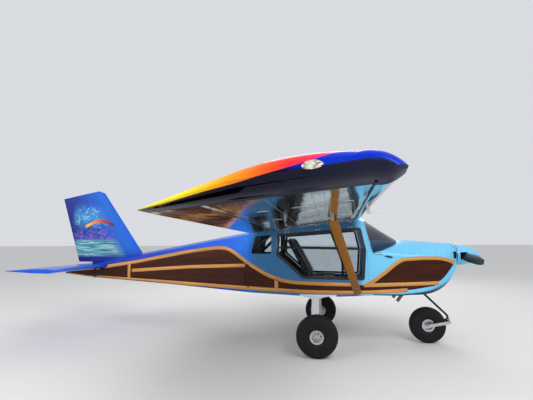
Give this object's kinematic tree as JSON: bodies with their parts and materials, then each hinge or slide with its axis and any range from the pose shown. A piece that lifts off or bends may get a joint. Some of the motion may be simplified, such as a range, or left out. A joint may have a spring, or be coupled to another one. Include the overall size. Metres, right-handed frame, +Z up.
{
  "type": "two-seat high-wing light-sport aircraft with nose-wheel gear",
  "caption": "Small strut-braced high-wing two-seat propeller aircraft on large balloon tyres, with lift-up cabin doors, flaps, ailerons, elevator, rudder and castering nose wheel.",
  "frame": {"origin": "middle of the footprint's box on the ground, as the aircraft stands", "axes": "+X towards the nose, +Y towards the port wing tip, +Z up"},
  "size_m": [7.0348, 9.0004, 2.4469],
  "materials": {
    "sky_blue_paint": "gloss",
    "royal_blue_paint": "gloss",
    "navy_paint": "gloss",
    "tail_paint": "gloss",
    "polished_aluminium": "polished",
    "side_paint": "gloss",
    "tinted_glass": "gloss",
    "strut_brown": "satin",
    "leg_grey": "satin",
    "wheel_alloy": "polished",
    "rubber": "matte",
    "steel": "satin",
    "black_steel": "satin",
    "black_composite": "satin",
    "seat_cloth": "matte",
    "engine_alloy": "satin",
    "clear_lens": "gloss",
    "interior": "matte"
  },
  "bodies": {
    "airframe": {"baggage_bulkhead": "interior", "belly_antennas": "black_composite", "brake_calipers": "steel", "cabin_floor": "sky_blue_paint", "cabin_side_left": "side_paint", "cabin_side_right": "side_paint", "control_sticks": "black_composite", "cowl_lower": "sky_blue_paint", "cowl_upper": "sky_blue_paint", "door_hinges": "steel", "engine": "engine_alloy", "engine_mount": "black_steel", "exhaust_pipes": "steel", "fin": "tail_paint", "firewall": "leg_grey", "front_body": "sky_blue_paint", "gear_leg_left": "leg_grey", "gear_leg_right": "leg_grey", "instrument_panel": "black_composite", "lift_strut_left": "strut_brown", "lift_strut_right": "strut_brown", "nose_leg": "black_steel", "pitot_mast": "leg_grey", "quarter_windows": "tinted_glass", "roof": "sky_blue_paint", "seat_left": "seat_cloth", "seat_right": "seat_cloth", "stabiliser": "tail_paint", "tail_cone": "royal_blue_paint", "tail_hinges": "steel", "tip_lights": "clear_lens", "windscreen": "tinted_glass", "wing_fittings": "steel", "wing_left": "polished_aluminium", "wing_right": "polished_aluminium", "wing_tip_left": "navy_paint", "wing_tip_right": "navy_paint"},
    "propeller": {"propeller": "black_composite", "spinner": "sky_blue_paint"},
    "main_wheel_left": {"main_wheel_left": "wheel_alloy", "main_tyre_left": "rubber"},
    "main_wheel_right": {"main_wheel_right": "wheel_alloy", "main_tyre_right": "rubber"},
    "nose_fork": {"nose_fork": "wheel_alloy"},
    "nose_wheel": {"nose_wheel": "wheel_alloy", "nose_tyre": "rubber"},
    "door_left": {"door_frame_left": "side_paint", "door_glass_left": "tinted_glass"},
    "door_right": {"door_frame_right": "side_paint", "door_glass_right": "tinted_glass"},
    "aileron_left": {"aileron_left": "royal_blue_paint"},
    "aileron_right": {"aileron_right": "royal_blue_paint"},
    "flap_left": {"flap_left": "royal_blue_paint"},
    "flap_right": {"flap_right": "royal_blue_paint"},
    "elevator": {"elevator": "tail_paint"},
    "rudder": {"rudder": "tail_paint"}
  },
  "joints": [
    {"name": "propeller_spin", "type": "hinge", "parent": "airframe", "child": "propeller", "pos_m": [3.232, 0, 1.315], "axis": [1, 0, 0], "continuous": true},
    {"name": "main_wheel_left_spin", "type": "hinge", "parent": "airframe", "child": "main_wheel_left", "pos_m": [1.062, 1.04, 0.2795], "axis": [0, 1, 0], "continuous": true},
    {"name": "main_wheel_right_spin", "type": "hinge", "parent": "airframe", "child": "main_wheel_right", "pos_m": [1.062, -1.04, 0.2795], "axis": [0, 1, 0], "continuous": true},
    {"name": "nose_caster", "type": "hinge", "parent": "airframe", "child": "nose_fork", "pos_m": [2.99, 0, 0.325], "axis": [0, 0, 1], "range_deg": [-45, 45]},
    {"name": "nose_wheel_spin", "type": "hinge", "parent": "nose_fork", "child": "nose_wheel", "pos_m": [2.692, 0, 0.264], "axis": [0, 1, 0], "continuous": true},
    {"name": "door_left_swing", "type": "hinge", "parent": "airframe", "child": "door_left", "pos_m": [1.089, 0.591, 1.693], "axis": [0.9974, 0, 0.0718], "range_deg": [0, 80]},
    {"name": "door_right_swing", "type": "hinge", "parent": "airframe", "child": "door_right", "pos_m": [1.089, -0.591, 1.693], "axis": [-0.9974, 0, -0.0718], "range_deg": [0, 80]},
    {"name": "aileron_left_hinge", "type": "hinge", "parent": "airframe", "child": "aileron_left", "pos_m": [0.48429, 3.362, 1.77915], "axis": [0, -0.9998, -0.0192], "range_deg": [-20, 20]},
    {"name": "aileron_right_hinge", "type": "hinge", "parent": "airframe", "child": "aileron_right", "pos_m": [0.48429, -3.362, 1.77915], "axis": [0, -0.9998, 0.0192], "range_deg": [-20, 20]},
    {"name": "flap_left_hinge", "type": "hinge", "parent": "airframe", "child": "flap_left", "pos_m": [0.48429, 1.5745, 1.74483], "axis": [0, -0.9998, -0.0192], "range_deg": [0, 40]},
    {"name": "flap_right_hinge", "type": "hinge", "parent": "airframe", "child": "flap_right", "pos_m": [0.48429, -1.5745, 1.74483], "axis": [0, -0.9998, 0.0192], "range_deg": [0, 40]},
    {"name": "elevator_hinge", "type": "hinge", "parent": "airframe", "child": "elevator", "pos_m": [-2.96, 0, 1.128], "axis": [0, -1, 0], "range_deg": [-28, 22]},
    {"name": "rudder_hinge", "type": "hinge", "parent": "airframe", "child": "rudder", "pos_m": [-2.905, 0, 1.15], "axis": [-0.3006, 0, 0.9537], "range_deg": [-25, 25]}
  ],
  "couplings": [
    {"joint": "aileron_right_hinge", "follows": "aileron_left_hinge", "ratio": -1},
    {"joint": "flap_right_hinge", "follows": "flap_left_hinge", "ratio": 1}
  ]
}
